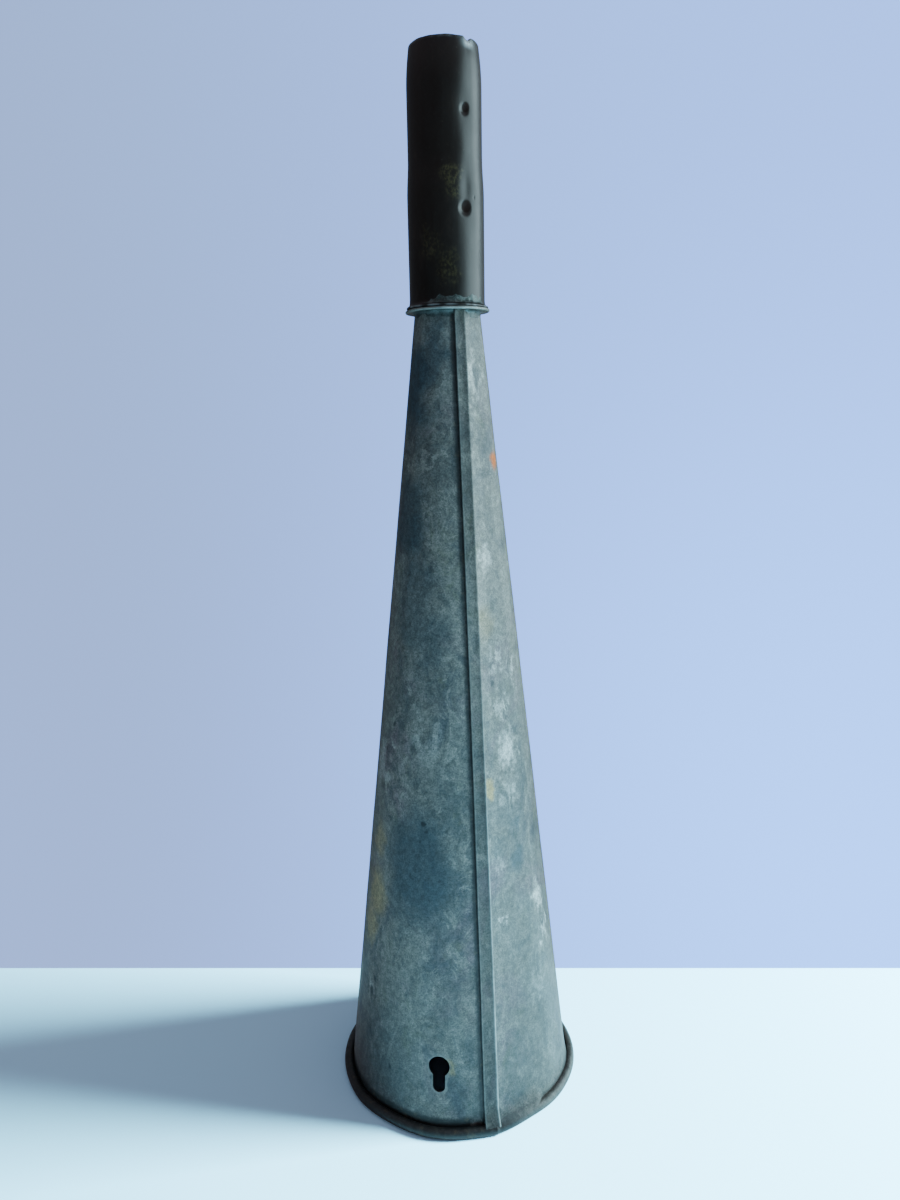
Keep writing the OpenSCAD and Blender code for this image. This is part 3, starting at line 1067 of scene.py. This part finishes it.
def solder_metal(name, light=1.0):
    """Old solder gone dull and greenish, with brighter patches."""
    coat = Paint(name)
    middle = coat.noise(300, 4.0, 0.6, seed=2.0, warp=0.6)
    fine = coat.noise(1500, 3.0, 0.6, seed=4.0)

    def tone(r, g, b):
        return (r * light, g * light, b * light)

    colour = coat.blend(coat.span(middle, 0.42, 0.68), tone(0.030, 0.050, 0.046), tone(0.12, 0.15, 0.15))
    colour = coat.blend(coat.span(fine, 0.5, 0.8, 0.0, 0.4), colour, tone(0.24, 0.28, 0.28))
    dirt_and_shade = coat.maths("MULTIPLY", coat.mask("dirt_and_shade"), coat.span(middle, 0.2, 0.7, 1.0, 0.6))
    colour = coat.blend(dirt_and_shade, colour, (0.010, 0.016, 0.015))
    level = coat.span(middle, 0.3, 0.7, 0.38, 0.58)
    metal = coat.span(fine, 0.2, 0.8, 0.65, 0.45)
    normal = coat.bump(middle, 0.4, 0.0003)
    normal = coat.bump(fine, 0.3, 0.00008, normal)
    return coat.done(colour, level, metal, normal)


def wire_steel():
    """The rim's wire: dull steel gone brown in patches."""
    coat = Paint("wire_steel_dull")
    middle = coat.noise(220, 4.0, 0.6, seed=2.0)
    fine = coat.noise(1200, 3.0, 0.6, seed=4.0)
    colour = coat.blend(coat.span(middle, 0.4, 0.65), (0.030, 0.028, 0.026), (0.085, 0.050, 0.028))
    colour = coat.blend(coat.span(fine, 0.55, 0.8, 0.0, 0.5), colour, (0.012, 0.014, 0.016))
    level = coat.span(fine, 0.3, 0.7, 0.45, 0.7)
    metal = coat.span(middle, 0.3, 0.7, 0.6, 0.3)
    return coat.done(colour, level, metal, coat.bump(fine, 0.4, 0.0001))


def dress(obj, material):
    """Gives a new piece its only material, or a kept CAD node a better one."""
    if obj.material_slots:
        for slot in obj.material_slots:
            slot.material = material
    else:
        obj.data.materials.append(material)


# Stage

# The stage is in metres and degrees. The table's back edge lies TABLE_BACK behind the funnel's
# axis, a little askew. It reaches TABLE_REACH to the sides and the front.
TABLE_BACK = 0.0712
TABLE_SKEW = -0.0253
TABLE_REACH = 2.2
TABLE_T = 0.03
TABLE_SEEN = ((0.42, 0.73, 0.98), (0.45, 0.76, 0.99))
TABLE_BOUNCE = (0.49, 0.51, 0.60)

CAMERA_PLACE = (0.0, -0.3965, 0.3135)
CAMERA_PITCH = 11.645
CAMERA_YAW = -0.135
CAMERA_ROLL = -0.955
CAMERA_LENS = 27
CAMERA_FILM = 36


def make_camera():
    """A phone's view from a little above the middle of the funnel, tipped down."""
    yaw, pitch, roll = (math.radians(a) for a in (CAMERA_YAW, CAMERA_PITCH, CAMERA_ROLL))
    ahead = Vector((math.sin(yaw) * math.cos(pitch), math.cos(yaw) * math.cos(pitch), -math.sin(pitch)))
    level = Vector((math.cos(yaw), -math.sin(yaw), 0))
    up = level.cross(ahead)
    right = level * math.cos(roll) + up * math.sin(roll)
    top = up * math.cos(roll) - level * math.sin(roll)
    lens = bpy.data.cameras.new("camera")
    lens.lens = CAMERA_LENS
    lens.sensor_width = CAMERA_FILM
    camera = bpy.data.objects.new("camera", lens)
    bpy.context.scene.collection.objects.link(camera)
    turned = Matrix((right, top, -ahead)).transposed().to_4x4()
    camera.matrix_world = Matrix.Translation(CAMERA_PLACE) @ turned
    bpy.context.scene.camera = camera


def make_table():
    """A plain pale table whose back edge is just behind the funnel.

    The camera sees it bluer than the light it bounces, so that it doesn't tint the metal.
    """
    corners = [(-TABLE_REACH, -TABLE_REACH), (TABLE_REACH, -TABLE_REACH)]
    corners += [(x, TABLE_BACK + TABLE_SKEW * x) for x in (TABLE_REACH, -TABLE_REACH)]
    table = loft("table", [[Vector((x, y, z)) for x, y in corners] for z in (-TABLE_T, 0)])
    soften = table.modifiers.new("soften", "BEVEL")
    soften.width = 0.0015
    soften.segments = 3
    coat = Paint("table_paint")
    cloud = coat.noise(3, 3.0, 0.5)
    grain = coat.noise(350, 3.0, 0.6)
    colour = coat.blend(coat.span(cloud, 0.3, 0.7), *TABLE_SEEN)
    seen = coat.nodes.new("ShaderNodeLightPath").outputs["Is Camera Ray"]
    colour = coat.blend(seen, TABLE_BOUNCE, colour)
    dress(table, coat.done(colour, 0.6, 0.0, coat.bump(grain, 0.05, 0.0002), 0.3))
    return table


def area_light(name, place, target, size, power, colour):
    """A rectangular light at place that faces target, and isn't itself seen."""
    data = bpy.data.lights.new(name, "AREA")
    data.shape = "RECTANGLE"
    data.size, data.size_y = size
    data.energy = power
    data.color = colour
    light = bpy.data.objects.new(name, data)
    bpy.context.scene.collection.objects.link(light)
    light.location = place
    light.rotation_euler = (Vector(target) - Vector(place)).to_track_quat("-Z", "Y").to_euler()
    light.visible_camera = False
    return light


def make_world():
    """A pale blue-grey backdrop for the camera, and a dimmer light for everything else.

    The light comes mostly from above, and from behind on the right.
    """
    world = bpy.data.worlds.new("studio")
    bpy.context.scene.world = world
    world.use_nodes = True
    tree = world.node_tree
    tree.nodes.clear()
    new = tree.nodes.new
    link = tree.links.new

    def wash(axis, low, high, colour_low, colour_high):
        """A colour that changes between low and high along one axis of the direction."""
        parts = new("ShaderNodeSeparateXYZ")
        link(direction, parts.inputs[0])
        span = new("ShaderNodeMapRange")
        span.interpolation_type = "SMOOTHSTEP"
        span.inputs[1].default_value = low
        span.inputs[2].default_value = high
        link(parts.outputs[axis], span.inputs[0])
        blend = new("ShaderNodeMix")
        blend.data_type = "RGBA"
        link(span.outputs[0], blend.inputs[0])
        for socket, colour in ((blend.inputs[6], colour_low), (blend.inputs[7], colour_high)):
            if isinstance(colour, bpy.types.NodeSocket):
                link(colour, socket)
            else:
                socket.default_value = (*colour, 1)
        return blend.outputs[2]

    direction = new("ShaderNodeTexCoord").outputs["Generated"]
    upper = wash("X", -0.55, 0.55, (0.41, 0.61, 1.15), (0.50, 0.98, 2.50))
    lower = wash("X", -0.4, 0.5, (0.44, 0.66, 1.35), (0.55, 1.5, 4.2))
    seen = wash("Z", -0.6, 0.35, lower, upper)
    level = wash("X", -0.9, 0.9, (0.15, 0.125, 0.115), (0.13, 0.13, 0.135))
    above = wash("X", -0.9, 0.9, (0.52, 0.45, 0.52), (0.66, 0.63, 0.72))
    front = wash("Z", 0.05, 0.75, level, above)
    behind = wash("X", -0.6, 0.6, (0.12, 0.13, 0.16), (0.40, 0.46, 0.54))
    light = wash("Y", -0.15, 0.80, front, behind)
    shown = new("ShaderNodeBackground")
    lit = new("ShaderNodeBackground")
    link(seen, shown.inputs[0])
    link(light, lit.inputs[0])
    path = new("ShaderNodeLightPath")
    choice = new("ShaderNodeMixShader")
    link(path.outputs["Is Camera Ray"], choice.inputs[0])
    link(lit.outputs[0], choice.inputs[1])
    link(shown.outputs[0], choice.inputs[2])
    out = new("ShaderNodeOutputWorld")
    link(choice.outputs[0], out.inputs[0])


def share_light(light, obj, alone):
    """light falls on obj alone, or on everything but obj."""
    group = bpy.data.collections.new(light.name + "_receivers")
    group.objects.link(obj)
    group.collection_objects[0].light_linking.link_state = "INCLUDE" if alone else "EXCLUDE"
    light.light_linking.receiver_collection = group


def make_stage():
    """The camera, the table, the world, and a window on the right made of two lights.

    The near one lights the table and throws the shadow. The broad one lights the funnel.
    """
    make_camera()
    table = make_table()
    make_world()
    near = area_light("window_near", place=(1.02, 0.0, 0.58), target=(0.0, 0.0, 0.12),
                      size=(0.34, 0.50), power=190, colour=(0.44, 0.93, 1.0))
    share_light(near, table, alone=True)
    broad = area_light("window_broad", place=(1.0, 0.0, 0.48), target=(0.0, 0.0, 0.22),
                       size=(1.10, 0.90), power=26, colour=(0.68, 0.93, 1.0))
    share_light(broad, table, alone=False)


def build():
    """Makes every piece and gives it its material."""
    dress(make_cone(), zinc("galvanised_old", light=0.72, warm=1.0, spotted=True))
    # A darker copy of the zinc: painted shade on the seam's band.
    dress(make_seam(), zinc("galvanised_seam_shaded", light=0.45, warm=1.02, spotted=False))
    dress(make_wire(), wire_steel())
    dress(make_seam_solder(), solder_metal("solder_dull"))
    # A darker, warmer copy of the zinc: painted shade on the ring's underside.
    dress(make_ring(), zinc("galvanised_collar_shaded", light=0.32, warm=1.15, spotted=False))
    dress(make_collar_solder(), solder_metal("solder_collar", light=0.5))
    dress(make_tube(), black_steel())
    dress(make_lip_solder(), solder_metal("solder_smear", light=0.75))
    dress(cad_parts["neck_solder"], solder_metal("solder_neck"))


make_stage()
build()
